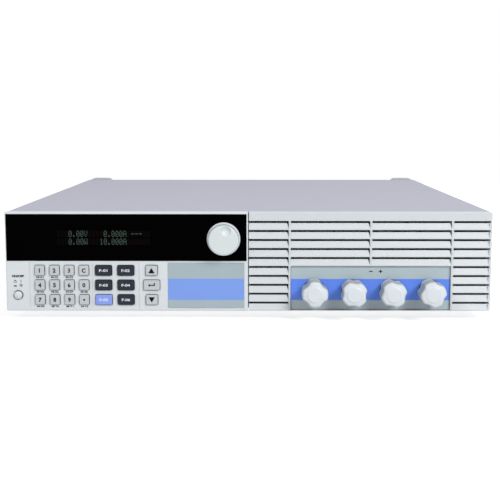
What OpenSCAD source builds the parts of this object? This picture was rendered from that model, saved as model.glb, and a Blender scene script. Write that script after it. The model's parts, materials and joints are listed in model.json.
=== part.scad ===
// Bench load for direct current: a full-width case with keypad, display and dial on the left of its
// front, a louvred air intake on the right and four screw terminals set low in the louvres.
// Frame: X to the right as seen from the front, Y to the rear, Z up; origin under the middle.
// Modules work from the front face (y = 0) and the underside of the case (z = 0), in millimetres.

/* [Case] */
// Width of the case
case_w = 428; // [420:1:450]
// Height of the case without its feet
case_h = 88; // [87:1:96]
// Depth from the front face to the back of the rear panel
case_d = 453; // [440:1:500]
// Thickness of the folded sheet
sheet_t = 1.2; // [0.8:0.1:1.5]
// Outside radius of the bends of the cover
bend_r = 3; // [2:0.5:4]
// Gap between pieces that are fitted together
fit_gap = 0.3; // [0.2:0.05:0.4]
// Radial clearance of shafts and posts
run_gap = 0.05; // [0.02:0.01:0.1]

/* [Feet] */
// Height of the bench feet
foot_h = 8; // [6:0.5:10]
// Diameter of the bench feet
foot_dia = 20; // [16:1:26]
// Distance of the bench feet from the sides
foot_side = 42; // [30:1:60]
// Distance of the bench feet from the front face and from the rear panel
foot_end = 66; // [50:1:90]
// Length of the corner feet behind the rear panel
rear_foot_l = 20; // [12:1:30]
// Width of the corner feet
rear_foot_w = 30; // [24:1:36]
// Height of the corner feet
rear_foot_h = 27; // [22:1:32]
// Rise of the corner feet over the cover
rear_foot_rise = 1.8; // [0.5:0.1:3]
// Distance of the corner feet from the sides
rear_foot_side = 2; // [0:0.5:6]

/* [Front mouldings] */
// Wall thickness of the mouldings
wall_t = 2.5; // [2:0.1:3]
// Depth of the mouldings from front to rear
rim_d = 16; // [15:0.5:20]
// Depth of the mouldings in front of the cover
mould_lip = 5; // [4:0.5:8]
// Radius of the front edges
edge_r = 1; // [0.5:0.1:1.5]
// Radius of the right-hand corner
corner_r = 3; // [2:0.5:4]
// Seam between the two mouldings
seam_w = 0.7; // [0.3:0.1:1]

/* [Display] */
// Border of the lens at the top
lens_border = 2.2; // [1.6:0.1:3]
// Border of the lens towards the seam
lens_seam = 1.4; // [1.2:0.1:2.5]
// Border of the lens at the outer side
lens_side = 0.9; // [0.8:0.1:1.5]
// Thickness of the lens
lens_t = 2; // [1.5:0.1:2.5]
// Distance of the lens behind the front face
lens_set = 0.3; // [0.1:0.05:0.5]
// Width of the display glass
glass_w = 112; // [90:1:130]
// Height of the display glass
glass_h = 27; // [22:1:32]

/* [Dial] */
// Diameter of the dial at its foot
dial_dia = 29.3; // [28.6:0.1:33]
// Diameter of the dial at its face
dial_face_dia = 26.6; // [24:0.1:27.2]
// Length of the dial
dial_l = 13; // [10:0.5:18]
// Distance of the dial axis from the right edge of the lens
dial_in = 20; // [18:0.1:24]
// Drop of the dial axis under the middle of the lens
dial_drop = 1; // [0:0.1:2]
// Diameter of the finger dimple
dimple_dia = 8.8; // [7:0.1:10]
// Diameter of the encoder shaft
shaft_dia = 6; // [5:0.5:6.5]

/* [Keys] */
// Width of the number keys
key_w = 8.6; // [8:0.1:9.2]
// Height of all keys
key_h = 9; // [8:0.1:9.3]
// Spacing of the number keys across
key_pitch = 13; // [12.6:0.05:14]
// Spacing of the key rows
row_pitch = 13.05; // [12.8:0.05:13.4]
// Left edge of the moulding to the middle of the first column
key_left = 30; // [29:0.1:32]
// Underside of the moulding to the lowest keys
key_foot = 5.6; // [5.4:0.1:7]
// Highest keys to the lens
key_head = 3.8; // [3.4:0.1:5]
// Width of the function keys
fn_w = 14.6; // [12:0.1:15.5]
// Spacing of the function keys across
fn_pitch = 19.6; // [19:0.1:21]
// Space between number keys and function keys
fn_space = 5.7; // [5:0.1:7]
// Width of the arrow keys
arrow_w = 10.4; // [9:0.1:12]
// Width of the enter key
enter_w = 14.3; // [13:0.1:15]
// Space between function keys and the enter key
nav_space = 8.3; // [6:0.1:10]
// Height of the keys over the front face
key_proud = 2; // [1.5:0.1:3]
// Travel of the keys
key_travel = 1.2; // [0.8:0.1:1.6]

/* [Power button] */
// Left edge of the moulding to the axis of the button
power_left = 10.45; // [10:0.05:12]
// Underside of the moulding to the axis of the button
power_z = 14; // [12:0.5:24]
// Diameter of the button
power_dia = 7; // [6.6:0.1:8]
// Height of the button over the front face
power_proud = 2.4; // [2:0.1:3]
// Travel of the button
power_travel = 2; // [1.5:0.1:2.2]

/* [Grille] */
// Spacing of the slats
slat_pitch = 7.97; // [7.9:0.01:8]
// Clear height of a slot
slot_h = 2; // [1.6:0.1:2.4]
// Height of the lowest slot
slot_foot = 7.25; // [7:0.05:7.6]
// Depth from the lower edge of a slat to its upper edge
slat_lean = 2.2; // [1.5:0.1:3]
// Thickness of a slat from front to rear
slat_t = 2; // [1.6:0.1:2.4]
// Width of the upright ribs
rib_w = 1.8; // [1.4:0.1:2.4]
// Width of the outer columns
side_col = 35.4; // [32:0.1:38]
// Shift of the ribs from the middle of the moulding
rib_shift = 0.5; // [0:0.1:1]
// Depth to which the slots run back at both ends
slot_d = 12; // [9:0.5:13]

/* [Terminals] */
// Spacing of the terminals
post_pitch = 34.1; // [32:0.1:35]
// Height of the terminals
post_z = 17.8; // [17.6:0.1:19.4]
// Shift of the terminals from the middle of their plate
post_shift = 1.4; // [0:0.1:2]
// Diameter of the threaded posts
post_dia = 8; // [6:0.5:8.5]
// Set-back of the terminal plate
plate_set = 2; // [1.5:0.1:3]
// Thickness of the terminal plate
plate_t = 3.5; // [3:0.1:4]
// Length of the collars on the plate
collar_l = 1.5; // [1:0.1:2]
// Length of the clamp rings
ring_l = 3.5; // [3:0.1:6]
// Diameter over the lobes of the clamp rings
ring_dia = 22.4; // [21:0.1:23]
// Length of the neck between ring and knob
neck_l = 2; // [1:0.1:3]
// Length of the knobs
knob_l = 17; // [15:0.5:20]
// Diameter over the lobes of the knobs
knob_dia = 23; // [22:0.1:25]
// Number of flutes on a knob
knob_flutes = 4; // [3:1:6]
// Depth of the flutes
flute_deep = 1.5; // [1:0.1:2]

/* [Cooling] */
// Clearance of the fans to the sheet above and below
fan_clear = 2.8; // [2:0.1:5]
// Depth of the fans
fan_d = 25; // [24:1:28]
// Number of fan blades
fan_blades = 7; // [5:1:8]
// Length of the heat sinks
sink_l = 250; // [220:1:270]
// Clearance of the heat sinks to the cover
sink_clear = 10; // [8:0.5:14]
// Height of the load board over the tray
board_lift = 5; // [4:0.1:5]

/* [Rear] */
// Height of the middle of the mains inlet and the sockets
inlet_z = 50; // [46:1:56]
// Depth of the mains socket
socket_d = 17; // [16:0.5:18]
// Space between the mains inlet and the transformer
core_space = 65; // [40:1:80]

/* [Hidden] */
$fn = 48;
// overshoot of cutting bodies
over = 1;
// gap between faces of moving pieces at rest
seat_gap = 0.1;

// knob reach in front of the face, and the front face in the frame
reach = collar_l + 2 * seat_gap + ring_l + neck_l + knob_l - plate_set;
front_y = (reach - case_d - rear_foot_l) / 2;

// mouldings
mould_w = (case_w - seam_w) / 2;
control_x = -case_w / 2;
grille_x = seam_w / 2;
lip_t = 0.8;
// wall at the top and at the outer side, where the cover lies over the moulding
cap_t = sheet_t + fit_gap + 1.2;

// keys: rows count from the bottom, x from the left edge of the moulding
key_r = 1.2;
key_bevel = 0.6;
key_side_gap = 0.35;
flange_w = 0.8;
flange_t = 1;
pill_l = 0.8;
pill_r = 2.2;
function row(i) = key_foot + key_h / 2 + i * row_pitch;
function num_x(i) = key_left + i * key_pitch;
function fn_x(i) = num_x(3) + key_w / 2 + fn_space + fn_w / 2 + i * fn_pitch;
nav_x = fn_x(1) + fn_w / 2 + nav_space + enter_w / 2;
num_names = ["key_1", "key_2", "key_3", "key_esc", "key_4", "key_5", "key_6", "key_0",
    "key_7", "key_8", "key_9", "key_dot"];
pale = "#b9c2c8";
dark = "#373d48";
KEYS = concat(
    [for (i = [0:11]) [num_names[i], num_x(i % 4), row(2 - floor(i / 4)), key_w, pale]],
    [for (i = [0:5]) [str("function_key_", i + 1), fn_x(i % 2), row(2 - floor(i / 2)), fn_w,
        i == 4 ? "#8799e9" : dark]],
    [["key_up", nav_x, row(2), arrow_w, pale],
     ["key_enter", nav_x, row(1), enter_w, pale],
     ["key_down", nav_x, row(0), arrow_w, pale]]);
mat_t = fit_gap + flange_t + pill_l + key_travel + seat_gap;
mat_edge = 5.5;
mat_over = 4;
mat_x = key_left - key_w / 2 - mat_edge;
board_t = 1.6;

// display
lens_z = row(2) + key_h / 2 + key_head;
lens_h = case_h - lens_border - lens_z;
lens_w = mould_w - lens_side - lens_seam;
lens_mid_z = lens_z + lens_h / 2;
shelf_z = lens_z - 1;
floor_t = 1.8;
floor_y = lens_set + lens_t + floor_t;
glass_t = 6;
window_rim = 3;

// dial and encoder
dial_x = lens_side + lens_w - dial_in;
dial_z = lens_mid_z - dial_drop;
glass_x = lens_side + (dial_x - dial_dia / 2 - lens_side - glass_w) / 2;
dial_y = lens_set - 0.8;
dimple_deep = 2.2;
dimple_off = 8.4;
dimple_turn = 16;
bush_dia = shaft_dia + 3;
encoder_s = 14;
encoder_d = 7;
shaft_in = 5;
// wall of the dial in front of its shaft
dial_wall = 4;

// stripe label and grooves
label_t = 0.5;
label_foot = 2.7;
label_head = 1.75;
label_left = 7.3;
label_right = 3.65;
label_x = nav_x + enter_w / 2 + label_left;
label_w = mould_w - label_right - label_x;
label_h = lens_z - label_head - label_foot;
groove_w = 0.8;
groove_deep = 0.4;
groove_space = 4.9;
grooves = [key_left - key_w / 2 - groove_space,
    fn_x(0) - fn_w / 2 - fn_space / 2,
    nav_x - enter_w / 2 - nav_space / 2];

// power button and switch
dish_dia = power_dia + 2.2;
dish_deep = 1.2;
button_gap = 0.5;
stem_dia = 4;
stem_in = 8;
switch_s = 13;
switch_d = 24;
switch_lug = 6;

// grille
rib_x = [side_col + rib_shift, mould_w / 2 + rib_shift, mould_w - side_col + rib_shift];
slat_lip = 0.9;
slat_tip = 0.6;
// wedge cut off the upper end of a slat beside a rib
relief_w = 1.2;
relief_h = 4.2;
// wall of the grille along the seam
inner_wall = 1.4;
function slot_z(i) = slot_foot + i * slat_pitch;
band_h = 7.2;
// slots beside the terminal plate
plate_slots = 4;
slots = floor((case_h - band_h - slot_foot) / slat_pitch) + 1;
plate_top = slot_z(plate_slots) + slot_h / 2;

// terminal plate and posts
plate_x = grille_x + rib_x[0] + rib_w / 2 + fit_gap;
plate_w = rib_x[2] - rib_x[0] - rib_w - 2 * fit_gap;
plate_z = lip_t + fit_gap;
plate_h = plate_top - fit_gap - plate_z;
plate_wall = 2;
post_mid = plate_x + plate_w / 2 + post_shift;
function post_x(i) = post_mid + (i - 1.5) * post_pitch;
collar_dia = 20.4;
hex_l = 4;
hex_w = 14;
ring_y = plate_set - collar_l - seat_gap;
knob_y = ring_y - ring_l - neck_l - seat_gap;
knob_wall = 3;
knob_turn = [45, -4, -12, -24];
knob_steps = 48;
bar_t = 3;
bar_y = plate_set + plate_t + hex_l;
bar_edge = 9;
bar_l = 70;
nut_w = 13;
nut_l = 6.5;

// sub-panel, tray, cover, rear panel
inner_w = case_w - 2 * sheet_t - 2 * fit_gap;
sub_y = rim_d;
tray_y = rim_d + sheet_t;
rear_y = case_d - sheet_t;
inner_h = case_h - sheet_t - fit_gap;
tray_wall = 22;
screw_r = 1.9;
screw_gap = 0.2;
head_r = 3.6;
head_l = 2;
cover_screw_z = 12;
cover_screw_end = 44;
cover_screws = [rim_d + cover_screw_end, case_d / 2, case_d - cover_screw_end];
sink_land = 0.4;
screw_in = 4;

// cooling
fan_space = 10;
fan_size = case_h - 2 * sheet_t - 2 * fan_clear;
fan_z = case_h / 2;
fan_y = rear_y - fan_d;
fan_hole = fan_size / 2 - 4.25;
fan_step = fan_size + fan_space;
screw_space = 3;
sink_mid = case_w / 2 - rear_foot_side - rear_foot_w - screw_space - head_r - fan_hole - fan_step / 2;
fan_x = [sink_mid - fan_step / 2, sink_mid + fan_step / 2];
fan_r = fan_size / 2 - 2;
hub_r = 16;
strut_t = 3.5;
strut_w = 4;
blade_gap = 1.5;
axle_r = 1.5;
board_z = sheet_t + board_lift;
board_top = board_z + board_t;
sink_h = case_h - sheet_t - sink_clear - board_top;
board_side = 30;
board_edge = 8;
board_gap = 1;
board_x = fan_x[0] - fan_size / 2 - board_side;
board_w = case_w / 2 - board_edge - board_x;
board_y = tray_y + board_edge;
board_l = fan_y - board_gap - board_y;
stud_in = 5;
studs = [for (x = [board_x + stud_in, board_x + board_w - stud_in])
    for (y = [board_y + stud_in, board_y + board_l / 2, board_y + board_l - stud_in]) [x, y]];
stud_r = 3;
sink_y = fan_y - fit_gap - sink_l;
sink_wall = 4;
fins = 11;
fin_t = 1.4;
device = [5, 16, 21];
device_lift = 12;
device_end = 25;
devices = 6;

// rear pieces stand with equal gaps between the left corner foot and the fans
inlet_w = 27;
inlet_h = 19.4;
inlet_d = 28;
inlet_t = 3;
socket_w = 24;
socket_h = 16;
flange_hole = 20;
flange_ear = 5;
inlet_flange = 2 * (flange_hole + flange_ear);
serial_plate = [31, 12.5];
serial_body = [18, 10.5, 10];
serial_shell = [17.2, 15.2, 8, 6];
jack_w = 5;
pin_step = 2.76;
pin_r = 0.6;
sense_body = [22, 17, 10];
sense_plate = [25, 2, 12];
sense_step = 5;
rear_left = rear_foot_side + rear_foot_w - case_w / 2;
rear_room = fan_x[0] - fan_size / 2 - rear_left;
rear_gap = (rear_room - inlet_flange - serial_plate[0] - sense_plate[0]) / 4;
inlet_x = rear_left + rear_gap + inlet_flange / 2;
serial_x = inlet_x + inlet_flange / 2 + rear_gap + serial_plate[0] / 2;
sense_x = serial_x + serial_plate[0] / 2 + rear_gap + sense_plate[0] / 2;

// transformer
core = [84, 46, 70];
coil = [54, 74, 46];
core_foot = [10, 2];
core_side = 18;
core_x = sheet_t + core_side + core_foot[0] + core[0] / 2 - case_w / 2;
core_y = case_d - inlet_d - core_space - coil[1] / 2;

// points of an arc
function arc(x, y, r, from, to, n = 5) =
    [for (i = [0:n]) [x + r * cos(from + (to - from) * i / n), y + r * sin(from + (to - from) * i / n)]];

// rectangle with round corners around its middle
function soft(w, h, r, n = 5) = concat(
    arc(w / 2 - r, r - h / 2, r, -90, 0, n), arc(w / 2 - r, h / 2 - r, r, 0, 90, n),
    arc(r - w / 2, h / 2 - r, r, 90, 180, n), arc(r - w / 2, r - h / 2, r, 180, 270, n));

module in_case() {
    translate([0, front_y, foot_h]) children();
}

// outline in x and z made into a plate that starts at y
module upright(y, t) {
    translate([0, y + t, 0]) rotate([90, 0, 0]) linear_extrude(t) children();
}

// outline in y and z drawn out along x
module along_x(x, l) {
    translate([x, 0, 0]) rotate([90, 0, 90]) linear_extrude(l) children();
}

// round bar along y
module rod(x, y, z, r, l) {
    translate([x, y, z]) rotate([-90, 0, 0]) cylinder(h = l, r = r);
}

// hexagonal bar along y with flats above and below
module hex_rod(x, y, z, w, l) {
    translate([x, y, z]) rotate([-90, 0, 0]) cylinder(h = l, r = w / 2 / cos(30), $fn = 6);
}

// body turned about an axis that points to the front
module turned(x, y, z) {
    translate([x, y, z]) rotate([90, 0, 0]) rotate_extrude() children();
}

module block(x, y, z, w, d, h) {
    translate([x, y, z]) cube([w, d, h]);
}

// outside of a moulding with its outer corner to the right
module envelope(w, side_r) {
    intersection() {
        upright(0, rim_d) polygon(concat([[0, 0]], arc(w - side_r, side_r, side_r, -90, 0),
            arc(w - side_r, case_h - side_r, side_r, 0, 90), [[0, case_h]]));
        linear_extrude(case_h) polygon(concat([[0, 0]], arc(w - side_r, side_r, side_r, -90, 0),
            [[w, rim_d], [0, rim_d]]));
        along_x(0, w) polygon(concat(arc(edge_r, edge_r, edge_r, 180, 270),
            [[rim_d, 0], [rim_d, case_h]], arc(edge_r, case_h - edge_r, edge_r, 90, 180)));
    }
}

// the place of one key on the moulding, as an outline with a margin round it
module key_outline(k, margin) {
    translate([k[1], k[2]]) polygon(soft(k[3] + 2 * margin, key_h + 2 * margin, key_r + margin / 2, 3));
}

module control_bezel() {
    color("#dde4e8") in_case() intersection() {
        moulding_room();
        translate([control_x, 0, 0]) control_shell();
    }
}

module control_shell() {
    difference() {
        translate([mould_w, 0, 0]) mirror([1, 0, 0]) envelope(mould_w, edge_r);
        block(cap_t, wall_t, wall_t, mould_w - wall_t - cap_t, rim_d, shelf_z - wall_t);
        block(cap_t, floor_y, shelf_z - over, mould_w - wall_t - cap_t, rim_d,
            case_h - cap_t - shelf_z + over);
        block(lens_side - fit_gap / 2, -over, lens_z - fit_gap / 2, lens_w + fit_gap,
            lens_set + lens_t + over, lens_h + fit_gap);
        block(glass_x + window_rim, 0, lens_mid_z - glass_h / 2 + window_rim, glass_w - 2 * window_rim,
            floor_y + over, glass_h - 2 * window_rim);
        rod(dial_x, 0, dial_z, bush_dia / 2 + run_gap, floor_y + over);
        upright(-over, wall_t + 2 * over) for (k = KEYS) key_outline(k, key_side_gap);
        rod(power_left, -over, power_z, power_dia / 2 + button_gap, wall_t + 2 * over);
        rod(power_left, -over, power_z, dish_dia / 2, dish_deep + over);
        for (x = grooves) block(x - groove_w / 2, -over, label_foot, groove_w, groove_deep + over, label_h);
        block(label_x - fit_gap, -over, label_foot - fit_gap, label_w + 2 * fit_gap, label_t + over,
            label_h + 2 * fit_gap);
    }
}

module display_lens() {
    color("#050605") in_case() translate([control_x, 0, 0]) difference() {
        upright(lens_set, lens_t) translate([lens_side + lens_w / 2, lens_mid_z])
            polygon(soft(lens_w, lens_h, 0.8, 3));
        rod(dial_x, 0, dial_z, bush_dia / 2 + fit_gap, lens_t + over);
    }
}

module stripe_label() {
    color("#a9bac1") in_case() translate([control_x, 0, 0])
        upright(0, label_t) translate([label_x + label_w / 2, label_foot + label_h / 2])
            polygon(soft(label_w, label_h, 1, 3));
}

module key_mat() {
    color("#4a4e52") in_case() translate([control_x, 0, 0]) upright(wall_t, mat_t) difference() {
        translate([mat_x, wall_t + fit_gap])
            square([label_x + mat_over - mat_x, shelf_z - wall_t - 2 * fit_gap]);
        for (k = KEYS) key_outline(k, flange_w + key_side_gap);
    }
}

module control_board() {
    plug = [34, 3, 9];
    plug_at = [10, 8];
    edge = 1;
    color("#1f6b45") in_case() translate([control_x, 0, 0]) {
        block(mat_x - edge, wall_t + mat_t, wall_t + fit_gap, label_x + label_w - mat_x + edge, board_t,
            shelf_z - wall_t - 2 * fit_gap);
        block(label_x + plug_at[0], wall_t + mat_t + board_t, label_foot + plug_at[1], plug[0], plug[1],
            plug[2]);
    }
}

module display_module() {
    side = 6;
    head = 3;
    color("#22302c") in_case() translate([control_x, 0, 0]) {
        block(glass_x, floor_y, lens_mid_z - glass_h / 2, glass_w, glass_t, glass_h);
        block(glass_x - side, floor_y + glass_t, lens_mid_z - glass_h / 2 - head, glass_w + 2 * side, board_t,
            glass_h + 2 * head);
    }
}

module encoder() {
    color("#8d9296") in_case() translate([control_x, 0, 0]) difference() {
        union() {
            block(dial_x - encoder_s / 2, floor_y, dial_z - encoder_s / 2, encoder_s, encoder_d, encoder_s);
            rod(dial_x, lens_set, dial_z, bush_dia / 2, floor_y - lens_set + over);
        }
        rod(dial_x, lens_set - over, dial_z, shaft_dia / 2 + run_gap, floor_y - lens_set + over + shaft_in);
    }
}

module encoder_shaft() {
    color("#b8bcbf") in_case()
        rod(control_x + dial_x, dial_y - dial_l + dial_wall, dial_z, shaft_dia / 2,
            floor_y + shaft_in - fit_gap - dial_y + dial_l - dial_wall);
}

module dial() {
    ball = (pow(dimple_dia / 2, 2) + pow(dimple_deep, 2)) / 2 / dimple_deep;
    foot_r = dial_dia / 2;
    foot_l = 2;
    foot_edge = 0.4;
    face_r = dial_face_dia / 2;
    round_r = 1.6;
    draft = 0.2;
    color("#dbe4e4") in_case() difference() {
        turned(control_x + dial_x, dial_y, dial_z) polygon(concat([[0, 0], [foot_r - foot_edge, 0],
            [foot_r, foot_edge], [foot_r, foot_l - foot_edge], [foot_r - foot_edge, foot_l],
            [face_r + draft, foot_l]], arc(face_r - round_r, dial_l - round_r, round_r, 0, 90, 4),
            [[0, dial_l]]));
        translate([control_x + dial_x + dimple_off * sin(dimple_turn), dial_y - dial_l - ball + dimple_deep,
            dial_z + dimple_off * cos(dimple_turn)]) sphere(r = ball);
        rod(control_x + dial_x, dial_y - dial_l + dial_wall - fit_gap, dial_z, shaft_dia / 2 + run_gap,
            dial_l);
    }
}

module power_button() {
    flange_y = wall_t + fit_gap;
    r = power_dia / 2;
    tip = flange_y + flange_t + power_proud;
    color("#e2e6e8") in_case() {
        turned(control_x + power_left, flange_y + flange_t, power_z) polygon([[0, 0],
            [r + 1, 0], [r + 1, flange_t], [r, flange_t], [r, tip - 1.2], [r - 0.4, tip - 0.7],
            [r * 0.6, tip - 0.2], [0, tip]]);
        rod(control_x + power_left, flange_y + flange_t, power_z, stem_dia / 2,
            tray_y + stem_in - flange_y - flange_t);
    }
}

module power_switch() {
    color("#26282b") in_case() translate([control_x + power_left, tray_y, power_z]) difference() {
        block(-switch_s / 2, 0, -switch_s / 2, switch_s + switch_lug, switch_d, switch_s);
        rod(0, -over, 0, stem_dia / 2 + fit_gap, stem_in + power_travel + 2 * over);
    }
}

module keypad_key(k) {
    color(k[4]) in_case() translate([control_x, 0, 0]) {
        hull() {
            upright(-key_proud, 0.1) key_outline(k, -key_bevel);
            upright(key_bevel - key_proud, 0.1) key_outline(k, 0);
        }
        upright(key_bevel - key_proud, key_proud - key_bevel + wall_t + fit_gap + flange_t) key_outline(k, 0);
        upright(wall_t + fit_gap, flange_t) key_outline(k, flange_w);
        rod(k[1], wall_t + fit_gap + flange_t, k[2], pill_r, pill_l);
    }
}

module slat(i) {
    low = slot_z(i) + slot_h / 2;
    high = slot_z(i + 1) - slot_h / 2;
    along_x(0, mould_w) polygon([[0, low], [0, low + slat_lip], [slat_lean, high],
        [slat_lean + slat_tip, high], [slat_t, low]]);
    block(0, slat_lean, low, inner_wall, slot_d - slat_lean + over, high - low);
    block(mould_w - cap_t, 0, low, cap_t, slot_d + over, high - low);
}

// the wedge at the upper right end of a slat
module relief(x, top) {
    upright(-over, slat_lean + slat_tip + 2 * over)
        polygon([[x - relief_w, top], [x - relief_w, top + over], [x, top + over], [x, top - relief_h]]);
}

module grille_bezel() {
    color("#dbe0e3") in_case() intersection() {
        moulding_room();
        translate([grille_x, 0, 0]) grille_shell();
    }
}

module grille_shell() {
    rib_d = 7;
    band_z = slot_z(slots - 1) + slot_h / 2;
    difference() {
        intersection() {
            envelope(mould_w, corner_r);
            union() {
                block(0, slot_d, 0, inner_wall, rim_d, case_h);
                block(mould_w - cap_t, slot_d, 0, cap_t, rim_d, case_h);
                block(0, 0, case_h - cap_t, mould_w, rim_d, cap_t);
                block(0, slat_t, 0, mould_w, rim_d, wall_t);
                block(0, 0, band_z, mould_w, wall_t, case_h);
                block(0, 0, band_z, inner_wall, rim_d, case_h);
                block(mould_w - cap_t, 0, band_z, cap_t, rim_d, case_h);
                for (x = rib_x) block(x - rib_w / 2, 0, 0, rib_w, rib_d, case_h);
                for (i = [-1:slots - 2]) slat(i);
            }
        }
        for (x = rib_x, i = [0:slots - 2]) relief(x - rib_w / 2, slot_z(i + 1) - slot_h / 2);
        block(rib_x[0] + rib_w / 2, -over, lip_t, rib_x[2] - rib_x[0] - rib_w, rim_d + 2 * over,
            plate_top - lip_t);
    }
}

module terminal_plate() {
    color("#afbec4") in_case() difference() {
        union() {
            block(plate_x, plate_set, plate_z, plate_w, rim_d - plate_set, plate_h);
            for (i = [0:3]) rod(post_x(i), plate_set - collar_l, post_z, collar_dia / 2, collar_l + over);
        }
        block(plate_x + plate_wall, plate_set + plate_t, plate_z + plate_wall, plate_w - 2 * plate_wall,
            rim_d, plate_h - 2 * plate_wall);
        for (i = [0:3]) rod(post_x(i), -reach, post_z, post_dia / 2 + run_gap, reach + rim_d);
    }
}

module terminal_posts() {
    tip_gap = 2;
    tail = 4;
    tip = knob_y - knob_l + knob_wall + tip_gap;
    color("#c2a253") in_case() for (i = [0:3]) {
        rod(post_x(i), tip, post_z, post_dia / 2, bar_y + bar_t + nut_l + tail - tip);
        hex_rod(post_x(i), plate_set + plate_t, post_z, hex_w, hex_l);
    }
}

module bus_bars() {
    color("#b5704a") in_case() for (i = [0, 2]) {
        left = post_x(i) - bar_edge;
        wide = post_pitch + 2 * bar_edge;
        difference() {
            block(left, bar_y, board_top, wide, bar_t, post_z + bar_edge - board_top);
            for (j = [i, i + 1])
                rod(post_x(j), bar_y - over, post_z, post_dia / 2 + run_gap, bar_t + 2 * over);
        }
        block(left, bar_y, board_top, wide, bar_l, bar_t);
    }
}

// share of the full flute depth at an angle from the middle of a flute; half of the rim is fluted
function flute(a) = let (step = 360 / knob_flutes, off = abs((a + step / 2) % step - step / 2))
    max(0, 1 - pow(4 * off / step, 2));

// fluted body on the z axis: each row of the profile holds radius, height and depth of flutes
module fluted(profile, turn) {
    n = knob_steps;
    rows = len(profile);
    points = [for (p = profile, i = [0:n - 1])
        let (a = i * 360 / n, r = p[0] - p[2] * flute(a)) [r * cos(a + turn), r * sin(a + turn), p[1]]];
    foot = [0, 0, profile[0][1]];
    head = [0, 0, profile[rows - 1][1]];
    walls = [for (k = [0:rows - 2], i = [0:n - 1], half = [0, 1])
        let (j = (i + 1) % n, low = k * n, high = (k + 1) * n)
        half == 0 ? [low + i, high + i, high + j] : [low + i, high + j, low + j]];
    ends = [for (i = [0:n - 1], half = [0, 1]) let (j = (i + 1) % n, top = (rows - 1) * n)
        half == 0 ? [rows * n, i, j] : [rows * n + 1, top + j, top + i]];
    polyhedron(concat(points, [foot, head]), concat(walls, ends));
}

module clamp_ring(i) {
    r = ring_dia / 2;
    neck_in = 3;
    neck_r = r - flute_deep - neck_in;
    profile = [[r - 0.6, 0, flute_deep], [r, 0.6, flute_deep], [r, ring_l - 0.7, flute_deep],
        [r - 0.7, ring_l, flute_deep], [neck_r, ring_l + 0.1, 0], [neck_r, ring_l + neck_l, 0]];
    color("#e1e6ea") in_case() difference() {
        translate([post_x(i), ring_y, post_z]) rotate([90, 0, 0]) fluted(profile, knob_turn[i]);
        rod(post_x(i), -reach, post_z, post_dia / 2 + run_gap, reach + rim_d);
    }
}

module terminal_knob(i) {
    r = knob_dia / 2;
    profile = [[r - 0.8, 0, flute_deep], [r, 0.8, flute_deep], [r, knob_l - 4, flute_deep],
        [r - 0.4, knob_l - 2.2, flute_deep], [r - 1.5, knob_l - 1, flute_deep * 0.9],
        [r * 0.62, knob_l - 0.5, flute_deep * 0.2], [r * 0.55, knob_l, 0]];
    color("#e4e9ed") in_case() difference() {
        translate([post_x(i), knob_y, post_z]) rotate([90, 0, 0]) fluted(profile, knob_turn[i]);
        rod(post_x(i), knob_y - knob_l + knob_wall, post_z, post_dia / 2 + run_gap, knob_l);
    }
}

// outline in x and z that fits under the bends of the cover
module panel_outline() {
    r = bend_r - sheet_t;
    polygon(concat([[-inner_w / 2, 0], [inner_w / 2, 0]],
        arc(inner_w / 2 - r, inner_h - r, r, 0, 90), arc(r - inner_w / 2, inner_h - r, r, 90, 180)));
}

module panel(y) {
    upright(y, sheet_t) panel_outline();
}

// room of the mouldings: full size at the lip, under the cover behind it
module moulding_room() {
    block(-case_w / 2, 0, 0, case_w, mould_lip, case_h);
    upright(mould_lip, rim_d - mould_lip) panel_outline();
}

// window in the sub-panel behind a field of the front
module vent(x, z, w, h) {
    block(x, sub_y - over, z, w, sheet_t + 2 * over, h);
}

module front_subpanel() {
    edge = 3;
    bar = 2;
    post_clear = 4;
    cable = [42, 14];
    cable_in = 6;
    ribbon = [20, 16];
    left = grille_x + edge;
    right = case_w / 2 - edge;
    color("#aeb3b6") in_case() difference() {
        panel(sub_y);
        vent(left, plate_top + bar, right - left, case_h - edge - plate_top - bar);
        vent(left, edge, plate_x - edge - left, plate_top - edge - bar);
        vent(plate_x + plate_w + edge, edge, right - plate_x - plate_w - edge, plate_top - edge - bar);
        vent(plate_x + post_clear, board_z - bar, plate_w - 2 * post_clear,
            post_z + bar_edge + post_clear - board_z);
        vent(control_x + label_x + cable_in, label_foot + cable_in, cable[0], cable[1]);
        vent(control_x + glass_x + ribbon[0], lens_mid_z - ribbon[1] / 2, glass_w - 2 * ribbon[0], ribbon[1]);
        rod(control_x + power_left, sub_y - over, power_z, stem_dia / 2 + fit_gap, sheet_t + 2 * over);
    }
}

module base_tray() {
    color("#a9aeb1") in_case() difference() {
        union() {
            block(-inner_w / 2, tray_y, 0, inner_w, rear_y - tray_y, sheet_t);
            for (s = [0, 1]) mirror([s, 0, 0])
                block(inner_w / 2 - sheet_t, tray_y, 0, sheet_t, rear_y - tray_y, tray_wall);
            for (p = studs) translate([p[0], p[1], 0]) cylinder(h = board_z, r = stud_r);
        }
        for (p = studs) translate([p[0], p[1], -over])
            cylinder(h = board_z + 2 * over, r = screw_r + run_gap);
        foot_places() translate([0, 0, -over]) cylinder(h = sheet_t + 2 * over, r = screw_r + screw_gap);
        cover_screw_places() translate([0, 0, -sheet_t - fit_gap - over])
            cylinder(h = sheet_t + 2 * over, r = screw_r + screw_gap);
    }
}

// cover sheet as an outline in x and z
module cover_outline() {
    r_in = bend_r - sheet_t;
    polygon(concat([[case_w / 2, 0]], arc(case_w / 2 - bend_r, case_h - bend_r, bend_r, 0, 90),
        arc(bend_r - case_w / 2, case_h - bend_r, bend_r, 90, 180), [[-case_w / 2, 0],
        [sheet_t - case_w / 2, 0]], arc(bend_r - case_w / 2, case_h - bend_r, r_in, 180, 90),
        arc(case_w / 2 - bend_r, case_h - bend_r, r_in, 90, 0), [[case_w / 2 - sheet_t, 0]]));
}

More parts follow.
